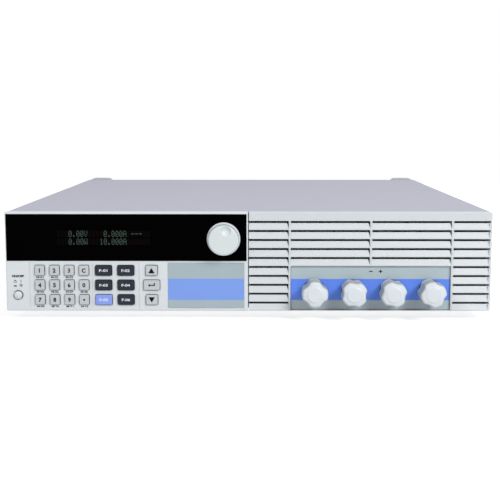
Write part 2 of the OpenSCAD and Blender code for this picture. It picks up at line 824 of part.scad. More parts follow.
// the places of the side screws, with z pointing out of the cover from its inner face
module cover_screw_places() {
    for (s = [0, 1], y = cover_screws) mirror([s, 0, 0])
        translate([case_w / 2 - sheet_t, y, cover_screw_z]) rotate([0, 90, 0]) children();
}

// countersunk body with its head at the outer face
module countersunk(r, wide, from, to) {
    rotate_extrude() polygon(concat([[0, from], [r, from], [r, sink_land], [wide, sheet_t]],
        to > sheet_t ? [[wide, to]] : [], [[0, to]]));
}

module top_cover() {
    color("#bec1cb") in_case() difference() {
        upright(mould_lip + fit_gap, case_d - mould_lip - fit_gap) cover_outline();
        cover_screw_places() countersunk(screw_r + screw_gap, head_r + screw_gap, -over, sheet_t + over);
    }
}

// rings of slots in front of a fan
module fan_slots(x) {
    first_r = 11;
    ring_w = 4.6;
    ring_step = 6.5;
    bar_w = 4;
    translate([x, 0, fan_z]) difference() {
        for (r = [first_r:ring_step:fan_r - bar_w]) difference() {
            rod(0, rear_y - over, 0, r + ring_w, sheet_t + 2 * over);
            rod(0, rear_y - 2 * over, 0, r, sheet_t + 4 * over);
        }
        for (a = [45, 135]) rotate([0, a, 0])
            block(-fan_size, rear_y - 2 * over, -bar_w / 2, 2 * fan_size, sheet_t + 4 * over, bar_w);
    }
}

// corners of a fan
module fan_corners() {
    for (x = fan_x, dx = [-1, 1], dz = [-1, 1])
        translate([x + dx * fan_hole, 0, fan_z + dz * fan_hole]) children();
}

module rear_panel() {
    color("#b4b8c1") in_case() difference() {
        panel(rear_y);
        for (x = fan_x) fan_slots(x);
        fan_corners() rod(0, rear_y - over, 0, screw_r + screw_gap, sheet_t + 2 * over);
        block(inlet_x - inlet_w / 2 - fit_gap, rear_y - over, inlet_z - inlet_h / 2 - fit_gap,
            inlet_w + 2 * fit_gap, sheet_t + 2 * over, inlet_h + 2 * fit_gap);
        for (s = [-1, 1]) rod(inlet_x + s * flange_hole, rear_y - over, inlet_z, screw_r + screw_gap,
            sheet_t + 2 * over);
        block(serial_x - serial_body[0] / 2 - fit_gap, rear_y - over, inlet_z - serial_body[2] / 2 - fit_gap,
            serial_body[0] + 2 * fit_gap, sheet_t + 2 * over, serial_body[2] + 2 * fit_gap);
        block(sense_x - sense_body[0] / 2 - fit_gap, rear_y - over, inlet_z - sense_body[2] / 2 - fit_gap,
            sense_body[0] + 2 * fit_gap, sheet_t + 2 * over, sense_body[2] + 2 * fit_gap);
    }
}

module mains_inlet() {
    mouth = case_d + inlet_t;
    cut = 5;
    pin = [2, 4];
    pins = [[-7, 0], [0, 4], [7, 0]];
    color("#1b1c1e") in_case() translate([inlet_x, 0, inlet_z]) {
        difference() {
            union() {
                block(-inlet_w / 2, mouth - inlet_d, -inlet_h / 2, inlet_w, inlet_d, inlet_h);
                upright(case_d, inlet_t) polygon(soft(inlet_flange, inlet_h + 4, flange_ear));
            }
            upright(mouth - socket_d, socket_d + over) polygon([[-socket_w / 2, -socket_h / 2],
                [socket_w / 2, -socket_h / 2], [socket_w / 2, socket_h / 2 - cut],
                [socket_w / 2 - cut, socket_h / 2], [cut - socket_w / 2, socket_h / 2],
                [-socket_w / 2, socket_h / 2 - cut]]);
            for (s = [-1, 1]) rod(s * flange_hole, case_d - over, 0, screw_r + screw_gap, inlet_t + 2 * over);
        }
        for (p = pins) block(p[0] - pin[0] / 2, mouth - socket_d - over, p[1] - pin[1] / 2, pin[0],
            socket_d - over, pin[1]);
    }
}

module rear_connectors() {
    shell = serial_shell;
    color("#9ea3a6") in_case() translate([serial_x, 0, inlet_z]) difference() {
        union() {
            upright(case_d, 1) polygon(soft(serial_plate[0], serial_plate[1], 1));
            upright(case_d, shell[3]) polygon([[-shell[1] / 2, -shell[2] / 2], [shell[1] / 2, -shell[2] / 2],
                [shell[0] / 2, shell[2] / 2], [-shell[0] / 2, shell[2] / 2]]);
            block(-serial_body[0] / 2, case_d + 0.5 - serial_body[1], -serial_body[2] / 2, serial_body[0],
                serial_body[1], serial_body[2]);
            for (s = [-1, 1]) hex_rod(s * (serial_plate[0] / 2 - 3), case_d, 0, jack_w, jack_w);
        }
        for (i = [-2:2]) rod(i * pin_step, case_d + 2, pin_step / 2, pin_r, shell[3]);
        for (i = [-1.5:1.5]) rod(i * pin_step, case_d + 2, -pin_step / 2, pin_r, shell[3]);
    }
    color("#3f8f5a") in_case() translate([sense_x, case_d, inlet_z]) difference() {
        union() {
            block(-sense_body[0] / 2, -9, -sense_body[2] / 2, sense_body[0], sense_body[1], sense_body[2]);
            block(-sense_plate[0] / 2, 0, -sense_plate[2] / 2, sense_plate[0], sense_plate[1],
                sense_plate[2]);
        }
        for (i = [-1.5:1.5]) {
            rod(i * sense_step, 3, -1.5, 1.6, 6);
            translate([i * sense_step, 5, sense_body[2] / 2 - 1.5]) cylinder(h = 2, r = 1.7);
        }
    }
}

module foot_places() {
    for (x = [foot_side - case_w / 2, case_w / 2 - foot_side], y = [foot_end, case_d - foot_end])
        translate([x, y, 0]) children();
}

module bench_feet() {
    r = foot_dia / 2;
    web = 3;
    color("#232426") in_case() foot_places() translate([0, 0, -foot_h]) rotate_extrude()
        polygon([[r - 2.5, 0], [r - 1.5, 1], [r, foot_h], [screw_r + screw_gap, foot_h],
            [screw_r + screw_gap, foot_h - web], [head_r + fit_gap, foot_h - web], [head_r + fit_gap, 0]]);
}

module rear_feet() {
    bevel = 4;
    taper = 5;
    round_r = 7;
    hole_r = 4.5;
    color("#babdc8") in_case() for (s = [0, 1], t = [0, 1])
        translate([0, case_d, case_h / 2]) mirror([s, 0, 0]) mirror([0, 0, t])
            translate([case_w / 2 - rear_foot_w / 2 - rear_foot_side, 0,
                case_h / 2 + rear_foot_rise - rear_foot_h / 2])
                difference() {
                    hull() {
                        upright(0, rear_foot_l - bevel) polygon(soft(rear_foot_w, rear_foot_h, round_r));
                        upright(0, rear_foot_l)
                            polygon(soft(rear_foot_w - taper, rear_foot_h - taper, round_r - 1));
                    }
                    rod(0, bevel, 0, hole_r, rear_foot_l);
                }
}

// pan-head screw that points along -z from its head
module screw(l) {
    difference() {
        cylinder(h = head_l, r1 = head_r, r2 = head_r - 0.9);
        for (a = [0, 90]) rotate(a) block(-2, -0.4, head_l - 0.9, 4, 0.8, over + head_l);
    }
    translate([0, 0, -l]) cylinder(h = l + 0.2, r = screw_r);
}

module screws_and_nuts() {
    color("#c9cccf") in_case() {
        for (i = [0:3]) difference() {
            hex_rod(post_x(i), bar_y + bar_t, post_z, nut_w, nut_l);
            rod(post_x(i), bar_y, post_z, post_dia / 2 + run_gap, bar_t + nut_l + over);
        }
        for (p = studs) translate([p[0], p[1], board_top]) screw(board_t + 3);
        foot_places() translate([0, 0, -3]) mirror([0, 0, 1]) screw(3 + sheet_t + 1);
        fan_corners() translate([0, case_d, 0]) rotate([-90, 0, 0]) screw(sheet_t + 3);
        for (s = [-1, 1])
            translate([inlet_x + s * flange_hole, case_d + inlet_t, inlet_z]) rotate([-90, 0, 0])
                screw(inlet_t + sheet_t + 2);
        cover_screw_places() difference() {
            countersunk(screw_r, head_r, -screw_in, sheet_t);
            for (a = [0, 90]) rotate(a) block(-2, -0.4, sheet_t - 0.5, 4, 0.8, over);
        }
    }
}

module heat_sinks() {
    cell_w = (fan_size - 2 * sink_wall - (fins - 1) * fin_t) / fins;
    cell_h = (sink_h - 3 * sink_wall) / 2;
    color("#33363a") in_case() for (x = fan_x)
        upright(sink_y, sink_l) translate([x - fan_size / 2, board_top]) difference() {
            square([fan_size, sink_h]);
            for (i = [0:fins - 1], j = [0, 1]) translate([sink_wall + i * (cell_w + fin_t),
                sink_wall + j * (cell_h + sink_wall)]) square([cell_w, cell_h]);
        }
}

module power_transistors() {
    step = (sink_l - 2 * device_end) / (devices - 1);
    color("#2a2b2d") in_case() for (s = [0, 1]) translate([sink_mid, 0, 0]) mirror([s, 0, 0])
        translate([fan_size + fan_space / 2, sink_y + device_end, board_top]) for (i = [0:devices - 1])
            translate([0, i * step, 0]) {
                block(0, -device[1] / 2, device_lift, device[0], device[1], device[2]);
                for (j = [-1:1]) block(2, j * 5.4 - 0.6, 0, 0.8, 1.2, device_lift + over);
            }
}

module load_board() {
    color("#1f6b45") in_case() difference() {
        block(board_x, board_y, board_z, board_w, board_l, board_t);
        for (p = studs) translate([p[0], p[1], board_z - over])
            cylinder(h = board_t + 2 * over, r = screw_r + screw_gap);
    }
}

module transformer() {
    color("#7d6a4e") in_case() translate([core_x, core_y, sheet_t]) {
        block(-core[0] / 2, -core[1] / 2, 0, core[0], core[1], core[2]);
        translate([0, 0, core[2] / 2]) upright(-coil[1] / 2, coil[1]) polygon(soft(coil[0], coil[2], 6));
        block(-core[0] / 2 - core_foot[0], -core[1] / 2, 0, core[0] + 2 * core_foot[0], core[1],
            core_foot[1]);
    }
}

module fan_frames() {
    color("#202124") in_case() for (x = fan_x) translate([x, fan_y, fan_z]) difference() {
        union() {
            difference() {
                upright(0, fan_d) polygon(soft(fan_size, fan_size, 4));
                rod(0, -over, 0, fan_r, fan_d + 2 * over);
            }
            rod(0, fan_d - strut_t, 0, hub_r, strut_t);
            for (a = [0:90:270]) rotate([0, a + 20, 0])
                block(hub_r - strut_w / 2, fan_d - strut_t, -strut_w / 2, fan_r - hub_r + strut_w - 1,
                    strut_t, strut_w);
        }
        for (dx = [-1, 1], dz = [-1, 1]) rod(dx * fan_hole, -over, dz * fan_hole, screw_r + screw_gap,
            fan_d + 2 * over);
        rod(0, fan_d - strut_t - over, 0, axle_r + run_gap, strut_t + 2 * over);
    }
}

module fan_rotor(i) {
    blade_r = fan_r - blade_gap;
    chord = 22;
    blade_t = 1.6;
    pitch = 42;
    rim = 2;
    hub_l = fan_d - strut_t - rim - 1;
    color("#2c2d31") in_case() translate([fan_x[i], fan_y, fan_z]) {
        rod(0, rim, 0, hub_r, hub_l);
        rod(0, hub_l, 0, axle_r, fan_d - hub_l - 1);
        intersection() {
            rod(0, rim, 0, blade_r, hub_l);
            for (j = [1:fan_blades]) rotate([0, j * 360 / fan_blades, 0])
                translate([hub_r - rim, rim + hub_l / 2, 0]) rotate([pitch, 0, 0])
                    block(0, -chord / 2, -blade_t / 2, blade_r, chord, blade_t);
        }
    }
}

base_tray();
top_cover();
front_subpanel();
rear_panel();
control_bezel();
grille_bezel();
display_lens();
stripe_label();
terminal_plate();
key_mat();
control_board();
display_module();
encoder();
power_switch();
heat_sinks();
power_transistors();
load_board();
bus_bars();
terminal_posts();
transformer();
fan_frames();
mains_inlet();
rear_connectors();
bench_feet();
rear_feet();
screws_and_nuts();
encoder_shaft();
dial();
power_button();
fan_rotor(0);  // fan_rotor_1
fan_rotor(1);  // fan_rotor_2
for (i = [0:3]) clamp_ring(i);
for (i = [0:3]) terminal_knob(i);
for (k = KEYS) keypad_key(k);
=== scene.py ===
"""Looks of a full-width bench electronic load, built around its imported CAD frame."""
import json
import math

import bmesh
import bpy
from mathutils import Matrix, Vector


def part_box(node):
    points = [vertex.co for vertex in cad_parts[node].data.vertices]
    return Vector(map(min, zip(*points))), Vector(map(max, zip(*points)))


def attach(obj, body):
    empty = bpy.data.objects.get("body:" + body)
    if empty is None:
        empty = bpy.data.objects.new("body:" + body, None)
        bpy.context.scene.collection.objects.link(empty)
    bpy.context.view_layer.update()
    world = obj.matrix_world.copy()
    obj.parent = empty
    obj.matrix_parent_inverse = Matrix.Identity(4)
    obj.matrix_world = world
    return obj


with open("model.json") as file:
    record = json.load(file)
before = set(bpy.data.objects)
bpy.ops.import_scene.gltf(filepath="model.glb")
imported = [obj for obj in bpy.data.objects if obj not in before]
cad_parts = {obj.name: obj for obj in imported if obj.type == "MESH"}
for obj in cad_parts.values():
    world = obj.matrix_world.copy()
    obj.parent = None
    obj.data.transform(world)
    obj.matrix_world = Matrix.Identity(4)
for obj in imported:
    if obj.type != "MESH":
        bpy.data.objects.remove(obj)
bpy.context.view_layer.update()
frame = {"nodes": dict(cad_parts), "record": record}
NODES = frame["nodes"]
SLOT_OF = {s["node"]: s["material_slot"] for s in frame["record"]["subparts"]}
MM = 0.001

# Material nodes


def wire(tree, a, out, b, into):
    tree.links.new(a.outputs[out], b.inputs[into])


def noise(tree, coords, scale, detail, stretch=None):
    """Noise in object space, in cells per metre; stretch squeezes it along an axis."""
    tex = tree.nodes.new("ShaderNodeTexNoise")
    tex.inputs["Scale"].default_value = scale
    tex.inputs["Detail"].default_value = detail
    if stretch:
        grid = tree.nodes.new("ShaderNodeMapping")
        grid.inputs["Scale"].default_value = stretch
        wire(tree, coords, "Object", grid, "Vector")
        wire(tree, grid, "Vector", tex, "Vector")
    else:
        wire(tree, coords, "Object", tex, "Vector")
    return tex


def span_of(tree, source, out, given, wanted):
    """A value spread from one range of numbers over another."""
    span = tree.nodes.new("ShaderNodeMapRange")
    span.inputs["From Min"].default_value, span.inputs["From Max"].default_value = given
    span.inputs["To Min"].default_value, span.inputs["To Max"].default_value = wanted
    wire(tree, source, out, span, "Value")
    return span


def spread(tree, tex, low, high):
    """The middle of a noise's values spread over a range of numbers."""
    return span_of(tree, tex, "Fac", (0.3, 0.7), (low, high))


def seen_rays(tree):
    """1 for rays that show a thing to the eye: straight, mirrored or through glass."""
    rays = tree.nodes.new("ShaderNodeLightPath")
    last = None
    for kind in ("Is Camera Ray", "Is Glossy Ray", "Is Transmission Ray"):
        most = tree.nodes.new("ShaderNodeMath")
        most.operation = "MAXIMUM"
        wire(tree, rays, kind, most, 0)
        most.inputs[1].default_value = 0
        if last:
            wire(tree, last, "Value", most, 1)
        last = most
    return last


def facing(tree):
    """1 on faces that look to the front, 0 on the walls beside them."""
    shape = tree.nodes.new("ShaderNodeNewGeometry")
    parts = tree.nodes.new("ShaderNodeSeparateXYZ")
    wire(tree, shape, "Normal", parts, "Vector")
    return span_of(tree, parts, "Y", (-0.35, -0.65), (0, 1))


def below(tree, coords, axis, place):
    """1 where the coordinate along an axis is less than a place, 0 beyond it."""
    parts = tree.nodes.new("ShaderNodeSeparateXYZ")
    wire(tree, coords, "Object", parts, "Vector")
    test = tree.nodes.new("ShaderNodeMath")
    test.operation = "LESS_THAN"
    test.inputs[1].default_value = place
    wire(tree, parts, axis, test, 0)
    return test


def colour_mix(tree, a, b, factor, out):
    """A mix of two colours; each is a node with a Result, or three numbers."""
    mix = tree.nodes.new("ShaderNodeMix")
    mix.data_type = "RGBA"
    for socket, given in (("A", a), ("B", b)):
        if isinstance(given, bpy.types.Node):
            wire(tree, given, "Result", mix, socket)
        else:
            mix.inputs[socket].default_value = (*given, 1)
    wire(tree, factor, out, mix, "Factor")
    return mix


def finish(name, colour, rough, vary, grain, bump, metal=0.0, specular=0.5, patch=40, stretch=None,
           edge=0.25, painted_wall_shade=None, part=None, second=None, glow=0.0):
    """A procedural material: patches of colour, uneven gloss, fine grain and softened edges.

    vary is the share by which patches differ, or second is the colour of the paler ones. patch and
    grain are in cells per metre, edge is a radius in mm. painted_wall_shade is painted shade: the
    darker colour of faces that don't look to the front, standing in for the shade on the side walls
    and in the gaps round them. part is an axis, a place on it and the colour of what lies below that
    place.
    """
    mat = bpy.data.materials.new(name)
    mat.use_nodes = True
    tree = mat.node_tree
    shader = tree.nodes["Principled BSDF"]
    shader.inputs["Metallic"].default_value = metal
    shader.inputs["Specular IOR Level"].default_value = specular
    coords = tree.nodes.new("ShaderNodeTexCoord")
    patches = noise(tree, coords, patch, 3.0, stretch)
    pale = second or [c * (1 + vary) for c in colour]
    deep = [c * (1 - vary) for c in colour]
    tint = colour_mix(tree, deep, pale, spread(tree, patches, 0, 1), "Result")
    # painted shade: faces that don't look to the front take a darker colour, for the shade on side walls and
    # in gaps
    if painted_wall_shade:
        tint = colour_mix(tree, painted_wall_shade, tint, facing(tree), "Result")
    if part:
        axis, place, shade = part
        tint = colour_mix(tree, tint, shade, below(tree, coords, axis, place), "Value")
    wire(tree, tint, "Result", shader, "Base Color")
    fine = noise(tree, coords, grain, 3.0, stretch)
    wire(tree, spread(tree, fine, *rough), "Result", shader, "Roughness")
    rise = tree.nodes.new("ShaderNodeBump")
    rise.inputs["Strength"].default_value = bump
    rise.inputs["Distance"].default_value = 0.1 * MM
    wire(tree, fine, "Fac", rise, "Height")
    if edge:
        soft = tree.nodes.new("ShaderNodeBevel")
        soft.samples = 6
        soft.inputs["Radius"].default_value = edge * MM
        wire(tree, soft, "Normal", rise, "Normal")
    wire(tree, rise, "Normal", shader, "Normal")
    if glow:
        shader.inputs["Emission Color"].default_value = (*colour, 1)
        shader.inputs["Emission Strength"].default_value = glow
    return mat


# Materials

BRUSHED = (1, 40, 40)           # long along x
EXTRUDED = (30, 1, 30)          # long along y
LAMINATED = (1, 1, 20)          # thin layers along z
TRACKS = (1, 1, 8)
connector_lo, connector_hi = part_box("rear_connectors")
SOCKET_SIDE = ("X", (connector_lo.x + connector_hi.x) / 2, (0.42, 0.43, 0.45))
plate_lo, plate_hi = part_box("terminal_plate")
COLLAR = 1.5 * MM               # how far the collars of the terminals stand out of their plate
PLATE_FACE = plate_lo.y + COLLAR
COLLARS = ("Y", PLATE_FACE - COLLAR / 4, (0.030, 0.033, 0.040))

LOOKS = {
    "cover_paint": dict(colour=(0.548, 0.555, 0.648), rough=(0.62, 0.72), vary=0.012, grain=1400, bump=0.12,
                        specular=0.25, edge=0.8),
    "panel_paint": dict(colour=(0.47, 0.49, 0.54), rough=(0.38, 0.48), vary=0.015, grain=1400, bump=0.12),
    "steel": dict(colour=(0.56, 0.57, 0.58), rough=(0.28, 0.42), vary=0.06, grain=700, bump=0.05, metal=1.0,
                  stretch=BRUSHED),
    "screw_steel": dict(colour=(0.42, 0.43, 0.44), rough=(0.26, 0.38), vary=0.05, grain=900, bump=0.04,
                        metal=1.0),
    "front_moulding": dict(colour=(0.75, 0.795, 0.825), rough=(0.42, 0.52), vary=0.01, grain=2200, bump=0.10,
                           edge=0.35),
    "lens": dict(colour=(0.0004, 0.0004, 0.0004), rough=(0.05, 0.09), vary=0.2, grain=300, bump=0.002,
                 specular=0.006, edge=0.1),
    "stripe_film": dict(colour=(0.41, 0.50, 0.54), rough=(0.40, 0.50), vary=0.012, grain=2600, bump=0.06,
                        edge=0.1),
    "dark_rubber": dict(colour=(0.030, 0.030, 0.032), rough=(0.62, 0.75), vary=0.12, grain=1600, bump=0.2,
                        specular=0.3),
    "circuit_board": dict(colour=(0.02, 0.13, 0.06), rough=(0.35, 0.5), vary=0.2, grain=500, bump=0.1,
                          second=(0.035, 0.2, 0.09), patch=220, stretch=TRACKS),
    "display_glass": dict(colour=(0.02, 0.03, 0.028), rough=(0.05, 0.12), vary=0.1, grain=600, bump=0.01),
    "black_plastic": dict(colour=(0.018, 0.018, 0.020), rough=(0.45, 0.58), vary=0.12, grain=1800, bump=0.15,
                          specular=0.4),
    "dark_paint": dict(colour=(0.020, 0.022, 0.025), rough=(0.5, 0.62), vary=0.08, grain=1600, bump=0.12,
                       specular=0.3),
    "heat_sink": dict(colour=(0.05, 0.05, 0.055), rough=(0.4, 0.5), vary=0.1, grain=900, bump=0.08, metal=0.6,
                      stretch=EXTRUDED),
    "copper": dict(colour=(0.60, 0.27, 0.15), rough=(0.22, 0.38), vary=0.08, grain=800, bump=0.05, metal=1.0,
                   stretch=BRUSHED),
    "brass": dict(colour=(0.62, 0.46, 0.18), rough=(0.2, 0.34), vary=0.06, grain=900, bump=0.05, metal=1.0),
    "iron_core": dict(colour=(0.13, 0.11, 0.08), rough=(0.4, 0.55), vary=0.15, grain=400, bump=0.3, metal=0.3,
                      stretch=LAMINATED),
    "connector": dict(colour=(0.055, 0.26, 0.105), rough=(0.35, 0.5), vary=0.06, grain=1400, bump=0.08,
                      part=SOCKET_SIDE),
    "corner_foot": dict(colour=(0.50, 0.51, 0.53), rough=(0.5, 0.6), vary=0.015, grain=1500, bump=0.15),
    # the dial and knobs get painted shade: their side walls are darker than their fronts, for how the light
    # falls on them
    "dial_plastic": dict(colour=(0.72, 0.785, 0.80), rough=(0.24, 0.30), vary=0.01, grain=2200, bump=0.05,
                         edge=0.6, painted_wall_shade=(0.52, 0.555, 0.57)),
    "knob_plastic": dict(colour=(0.74, 0.79, 0.83), rough=(0.30, 0.38), vary=0.01, grain=2200, bump=0.05,
                         edge=0.8, painted_wall_shade=(0.46, 0.485, 0.505)),
    # the keys get painted shade: their side walls are dark, for the shade in the gaps round them
    "key_pale": dict(colour=(0.585, 0.63, 0.65), rough=(0.40, 0.5), vary=0.015, grain=2400, bump=0.08,
                     edge=0.2, painted_wall_shade=(0.09, 0.10, 0.11)),
    "key_dark": dict(colour=(0.026, 0.032, 0.047), rough=(0.45, 0.55), vary=0.03, grain=2400, bump=0.08,
                     specular=0.15, edge=0.2, painted_wall_shade=(0.012, 0.013, 0.016)),
    "key_blue": dict(colour=(0.272, 0.378, 0.95), rough=(0.40, 0.5), vary=0.02, grain=2400, bump=0.08,
                     edge=0.2, painted_wall_shade=(0.04, 0.055, 0.14)),
    # looks that aren't a slot of the record
    "grille_plastic": dict(colour=(0.67, 0.71, 0.735), rough=(0.42, 0.52), vary=0.01, grain=2200, bump=0.10,
                           edge=0.35),
    "terminal_film": dict(colour=(0.455, 0.55, 0.59), rough=(0.40, 0.50), vary=0.012, grain=2600, bump=0.06,
                          edge=0.1, part=COLLARS),
    "blue_film": dict(colour=(0.215, 0.365, 0.88), rough=(0.40, 0.50), vary=0.012, grain=2600, bump=0.05,
                      edge=0),
    "deep_blue_film": dict(colour=(0.119, 0.268, 0.92), rough=(0.40, 0.50), vary=0.012, grain=2600, bump=0.05,
                           edge=0),
    "dark_ink": dict(colour=(0.006, 0.007, 0.010), rough=(0.5, 0.6), vary=0.08, grain=3000, bump=0.02,
                     specular=0.06, edge=0),
    "white_ink": dict(colour=(0.84, 0.86, 0.90), rough=(0.5, 0.6), vary=0.02, grain=3000, bump=0.02, edge=0),
    "lit_dot": dict(colour=(0.049, 0.078, 0.063), rough=(0.5, 0.6), vary=0.05, grain=3000, bump=0.0,
                    specular=0.05, edge=0, glow=0.6),
    "unlit_dot": dict(colour=(0.0042, 0.0022, 0.0019), rough=(0.5, 0.6), vary=0.1, grain=3000, bump=0.0,
                      specular=0.02, edge=0),
    "floor_paper": dict(colour=(0.72, 0.72, 0.72), rough=(0.8, 0.9), vary=0.004, grain=300, bump=0.02,
                        specular=0.1, edge=0),
}
MATERIALS = {name: finish(name, **look) for name, look in LOOKS.items()}

OWN_LOOK = {"terminal_plate": "terminal_film", "grille_bezel": "grille_plastic"}
for name, node in NODES.items():
    node.data.materials.clear()
    node.data.materials.append(MATERIALS[OWN_LOOK.get(name, SLOT_OF[name])])

# Camera, light and stage

CAMERA_AT = Vector((0.007608, -1.12767, 0.17972))
CAMERA_YAW, CAMERA_PITCH = -0.006885, 0.12935
FOCAL_PX, IMAGE_PX, SENSOR = 1035.7, 500, 36.0

camera = bpy.data.cameras.new("camera")
camera.sensor_width = SENSOR
camera.lens = FOCAL_PX * SENSOR / IMAGE_PX
eye = bpy.data.objects.new("camera", camera)
eye.location = CAMERA_AT
eye.rotation_euler = (math.pi / 2 - CAMERA_PITCH, 0, -CAMERA_YAW)
bpy.context.scene.collection.objects.link(eye)
bpy.context.scene.camera = eye
bpy.context.scene.view_settings.view_transform = "Standard"


def softbox(name, at, aim, side, power, mirrored=True):
    """A square lamp; one that isn't mirrored leaves no glare on the cover."""
    lamp = bpy.data.lights.new(name, "AREA")
    lamp.shape = "RECTANGLE"
    lamp.size = lamp.size_y = side
    lamp.energy = power
    holder = bpy.data.objects.new(name, lamp)
    holder.location = at
    holder.rotation_euler = (Vector(aim) - Vector(at)).to_track_quat("-Z", "Y").to_euler()
    holder.visible_glossy = mirrored
    bpy.context.scene.collection.objects.link(holder)


FRONT_AIM = (0, -0.2, 0.05)
softbox("right_light", (1.35, -1.95, 1.40), FRONT_AIM, 0.8, 37)
softbox("left_light", (-1.35, -1.95, 1.40), FRONT_AIM, 0.8, 11)
softbox("top_light", (0.05, 0.3, 2.0), (0, 0, 0.05), 1.6, 5)
softbox("rear_light", (1.6, 2.0, 1.0), (0, 0.2, 0.05), 0.8, 14, mirrored=False)

WORLD_LIGHT, WORLD_SEEN = 0.31, 1.0
world = bpy.data.worlds.new("world")
bpy.context.scene.world = world
world.use_nodes = True
sky = world.node_tree
background = sky.nodes["Background"]
background.inputs["Color"].default_value = (1, 1, 1, 1)
level = span_of(sky, seen_rays(sky), "Value", (0, 1), (WORLD_LIGHT, WORLD_SEEN))
wire(sky, level, "Result", background, "Strength")

FLOOR_RADIUS, FLOOR_SIDES = 1.7, 96
PAPER_LIFT = 0.64               # turns the lit paper white to the eye and leaves the shadow pale
floor_mesh = bpy.data.meshes.new("floor")
bm = bmesh.new()
bmesh.ops.create_circle(bm, cap_ends=True, radius=FLOOR_RADIUS, segments=FLOOR_SIDES)
bm.to_mesh(floor_mesh)
bm.free()
floor = bpy.data.objects.new("floor", floor_mesh)
bpy.context.scene.collection.objects.link(floor)
floor_mesh.materials.append(MATERIALS["floor_paper"])
paper = MATERIALS["floor_paper"].node_tree
white = paper.nodes["Principled BSDF"]
white.inputs["Emission Color"].default_value = (1, 1, 1, 1)
lift = span_of(paper, seen_rays(paper), "Value", (0, 1), (0, PAPER_LIFT))
wire(paper, lift, "Result", white, "Emission Strength")

# Makers of printed pieces

INK = 0.03 * MM
FILM = 0.06 * MM


def piece(name, mesh, look, body):
    obj = bpy.data.objects.new(name, mesh)
    bpy.context.scene.collection.objects.link(obj)
    mesh.materials.clear()
    mesh.materials.append(MATERIALS[look])
    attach(obj, body)


def slab(bm, outline, y, thick):
    """A thin plate in the front plane: outline in x and z, front face at y."""
    front = [bm.verts.new((x, y, z)) for x, z in outline]
    back = [bm.verts.new((x, y + thick, z)) for x, z in outline]
    bm.faces.new(front)
    bm.faces.new(back[::-1])
    for i in range(len(front)):
        j = (i + 1) % len(front)
        bm.faces.new((front[j], front[i], back[i], back[j]))


def plates(name, outlines, face, thick, look, body):
    """Thin plates that lie on the face at a y."""
    mesh = bpy.data.meshes.new(name)
    bm = bmesh.new()
    for outline in outlines:
        slab(bm, outline, face - thick, thick)
    bmesh.ops.recalc_face_normals(bm, faces=bm.faces)
    bm.to_mesh(mesh)
    bm.free()
    piece(name, mesh, look, body)


def signs(name, outlines, face, body):
    """Dark printed shapes."""
    plates(name, outlines, face, INK, "dark_ink", body)


def lettering(name, text, x, z, high, face, body, look="dark_ink", wide=None, weight=0.0):
    """Printed characters, centred at x and z on the face at a y, with a given height of figures."""
    curve = bpy.data.curves.new(name, "FONT")
    curve.body = text
    curve.resolution_u = 4
    curve.offset = weight
    curve.extrude = 0.5
    source = bpy.data.objects.new(name, curve)
    bpy.context.scene.collection.objects.link(source)
    bpy.context.view_layer.update()
    mesh = bpy.data.meshes.new_from_object(source.evaluated_get(bpy.context.evaluated_depsgraph_get()))
    bpy.data.objects.remove(source)
    bpy.data.curves.remove(curve)
    xs = [v.co.x for v in mesh.vertices]
    ys = [v.co.y for v in mesh.vertices]
    scale = high / (max(ys) - min(ys))
    broad = (wide / (max(xs) - min(xs))) if wide else scale
    mid_x, mid_y = (max(xs) + min(xs)) / 2, (max(ys) + min(ys)) / 2
    for v in mesh.vertices:
        v.co = Vector((x + (v.co.x - mid_x) * broad, face - v.co.z * INK, z + (v.co.y - mid_y) * scale))
    mesh.name = name
    piece(name, mesh, look, body)


def rectangle(x0, z0, x1, z1):
    return [(x0, z0), (x1, z0), (x1, z1), (x0, z1)]


def disc(x, z, r, sides=24):
    return [(x + r * math.cos(2 * math.pi * i / sides), z + r * math.sin(2 * math.pi * i / sides))
            for i in range(sides)]


def front_of(node):
    """Middle of a node's front face: x, y and z."""
    lo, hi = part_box(node)
    return (lo.x + hi.x) / 2, lo.y, (lo.z + hi.z) / 2


case_lo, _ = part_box("base_tray")


def height(mm):
    """A height over the underside of the case."""
    return mm * MM + case_lo.z


# Stripes

LABEL_STRIPE = (height(9.8), height(28.85))
PLATE_STRIPE = (height(9.5), height(28.4))
label_lo, label_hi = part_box("stripe_label")
plates("label_blue_stripe", [rectangle(label_lo.x, LABEL_STRIPE[0], label_hi.x, LABEL_STRIPE[1])],
       label_lo.y, FILM, "blue_film", "chassis")
plates("terminal_blue_stripe", [rectangle(plate_lo.x, PLATE_STRIPE[0], plate_hi.x, PLATE_STRIPE[1])],
       PLATE_FACE, FILM, "deep_blue_film", "chassis")

# Key legends

FIGURES = {f"key_{i}": str(i) for i in (1, 2, 3, 4, 5, 6, 7, 8, 9, 0)}
FIGURES["key_esc"] = "C"
FIGURE_HIGH = 3.9 * MM
FIGURE_WEIGHT = {"3": 0.035}    # a heavier 3 would cross itself
for name, figure in FIGURES.items():
    x, face, z = front_of(name)
    lettering(name + "_figure", figure, x, z, FIGURE_HIGH, face, name,
              weight=FIGURE_WEIGHT.get(figure, 0.045))

LEGEND_HIGH, LEGEND_WIDE = 2.4 * MM, 7.4 * MM
for i in range(1, 7):
    name = f"function_key_{i}"
    x, face, z = front_of(name)
    lettering(name + "_legend", f"F-{i:02d}", x, z, LEGEND_HIGH, face, name, "white_ink",
              wide=LEGEND_WIDE, weight=0.03)

DOT_R = 0.9 * MM
x, face, z = front_of("key_dot")
signs("key_dot_figure", [disc(x, z, DOT_R)], face, "key_dot")

ARROW_HALF, ARROW_RISE = 2.8 * MM, 2.4 * MM
for name, way in (("key_up", 1), ("key_down", -1)):
    x, face, z = front_of(name)
    rise = ARROW_RISE * way
    left, right = x - ARROW_HALF, x + ARROW_HALF
    signs(name + "_arrow", [[(left, z - rise), (right, z - rise), (x, z + rise)]], face, name)

